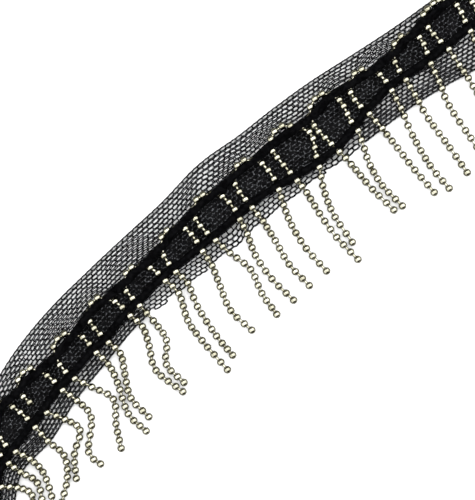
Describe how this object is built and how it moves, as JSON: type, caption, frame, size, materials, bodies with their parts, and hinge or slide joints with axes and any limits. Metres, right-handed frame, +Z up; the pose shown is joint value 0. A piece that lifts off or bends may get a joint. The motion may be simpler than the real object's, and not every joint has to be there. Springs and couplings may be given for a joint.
{
  "type": "beaded fringe trim",
  "caption": "Black net tape laid flat in a slow curve, with fine ball chain held on it in a row of loops by two soft strips, the chain ends hanging from one edge as a beaded fringe.",
  "frame": {"origin": "centre of the trim's box, on the surface that it lies on", "axes": "+X to the right in the picture, +Y to its top, +Z up out of the trim's face; the tape runs from lower left to upper right and its fringe lies to the lower right"},
  "size_m": [0.1688, 0.1605, 0.0057],
  "materials": {
    "net": "black hexagonal net of shiny fine thread",
    "ground": "matt black cloth",
    "hold_braid": "soft matt black braid",
    "ball_chain": "polished pale champagne silver"
  },
  "bodies": {
    "root": {"net_tape": "net", "ground_strip": "ground", "hold_strip_upper": "hold_braid", "chain_fringe": "ball_chain", "chain_loop_01": "ball_chain", "chain_loop_02": "ball_chain", "chain_loop_03": "ball_chain", "chain_loop_04": "ball_chain", "chain_loop_05": "ball_chain", "chain_loop_06": "ball_chain", "chain_loop_07": "ball_chain", "chain_loop_08": "ball_chain", "chain_loop_09": "ball_chain", "chain_loop_10": "ball_chain", "chain_loop_11": "ball_chain", "chain_loop_12": "ball_chain", "chain_loop_13": "ball_chain", "chain_loop_14": "ball_chain", "chain_loop_15": "ball_chain"}
  },
  "joints": []
}
